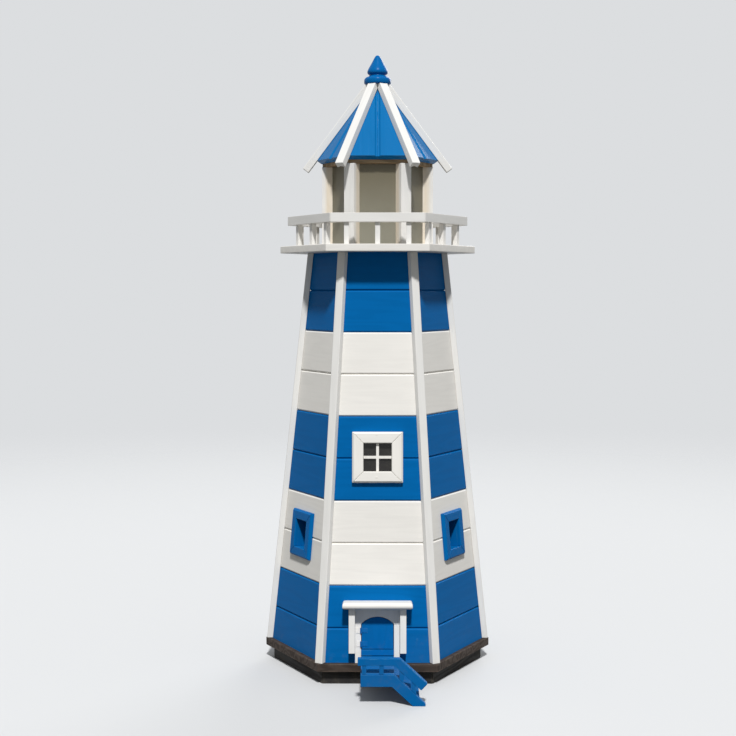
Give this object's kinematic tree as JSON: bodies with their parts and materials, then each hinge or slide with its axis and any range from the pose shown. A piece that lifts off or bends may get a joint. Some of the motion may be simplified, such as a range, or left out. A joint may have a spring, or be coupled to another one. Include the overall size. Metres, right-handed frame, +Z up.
{
  "type": "garden lighthouse ornament",
  "caption": "Free-standing six-sided wooden garden lighthouse with striped board walls, a railed gallery, a lit lantern room under a lift-off roof, and a hinged arched door.",
  "frame": {"origin": "on the tower axis, at the ground under the centre bearer", "axes": "+Z up along the tower axis, -Y out through the door, +X to the right when facing the door"},
  "size_m": [0.524, 0.5983, 1.4007],
  "materials": {
    "blue_paint": "semi-gloss blue paint over planed softwood, faint grain and brush marks",
    "roof_blue_paint": "semi-gloss blue paint over planed softwood, a little bleached by the sun",
    "white_paint": "semi-gloss white paint over planed softwood, faint grain and brush marks",
    "dark_stain": "dark brown wood stain, matt, worn along the edge",
    "black_stain": "black wood preservative, matt",
    "bare_wood": "bare planed softwood",
    "dark_pane": "dark smooth pane",
    "frosted_acrylic": "frosted translucent acrylic",
    "brass": "dull brass",
    "black_plastic": "moulded black plastic",
    "lead_sheath": "black rubber sheath",
    "bulb_glass": "opal white glass over a bright cap",
    "clip_plastic": "white moulded plastic"
  },
  "bodies": {
    "tower": {"plinth_bars": "black_stain", "centre_bearer": "black_stain", "base_plate": "dark_stain", "bottom_frame": "bare_wood", "middle_frame": "bare_wood", "top_frame": "bare_wood", "blue_boards_0": "blue_paint", "blue_boards_1": "blue_paint", "blue_boards_2": "blue_paint", "blue_boards_3": "blue_paint", "blue_boards_4": "blue_paint", "blue_boards_5": "blue_paint", "white_boards_0": "white_paint", "white_boards_1": "white_paint", "white_boards_2": "white_paint", "white_boards_3": "white_paint", "white_boards_4": "white_paint", "white_boards_5": "white_paint", "corner_batten_0": "white_paint", "corner_batten_1": "white_paint", "corner_batten_2": "white_paint", "corner_batten_3": "white_paint", "corner_batten_4": "white_paint", "corner_batten_5": "white_paint", "front_window_frame": "white_paint", "front_window_muntins": "white_paint", "front_window_pane": "dark_pane", "side_window_frames": "blue_paint", "side_window_reveals": "blue_paint", "side_window_panes": "dark_pane", "arch_panel": "white_paint", "porch_posts": "white_paint", "porch_canopy": "white_paint", "door_sill": "blue_paint", "door_hinge_pins": "brass", "stair_stringers": "blue_paint", "stair_landing": "blue_paint", "stair_treads": "blue_paint", "stair_handrail": "blue_paint", "stair_balusters": "blue_paint", "gallery_deck": "white_paint", "deck_screws": "brass", "gallery_balusters": "white_paint", "gallery_rail": "white_paint", "lantern_posts": "white_paint", "lantern_head_rails": "bare_wood", "lantern_panes": "frosted_acrylic", "lamp_holder": "black_plastic", "bulb": "bulb_glass", "lead": "lead_sheath", "lead_clips": "clip_plastic", "cable_gland": "black_plastic"},
    "door": {"door_leaf": "blue_paint", "door_hinge_leaves": "brass"},
    "roof": {"roof_base": "bare_wood", "roof_boards": "roof_blue_paint", "roof_battens": "white_paint", "apex_block": "bare_wood", "finial": "blue_paint"}
  },
  "joints": [
    {"name": "door_hinge", "type": "hinge", "parent": "tower", "child": "door", "pos_m": [-0.036, -0.21834, 0.10844], "axis": [0, -0.0939, -0.9956], "range_deg": [0, 100]},
    {"name": "roof_lift", "type": "slide", "parent": "tower", "child": "roof", "axis": [0, 0, 1], "range_m": [0, 0.25]}
  ]
}
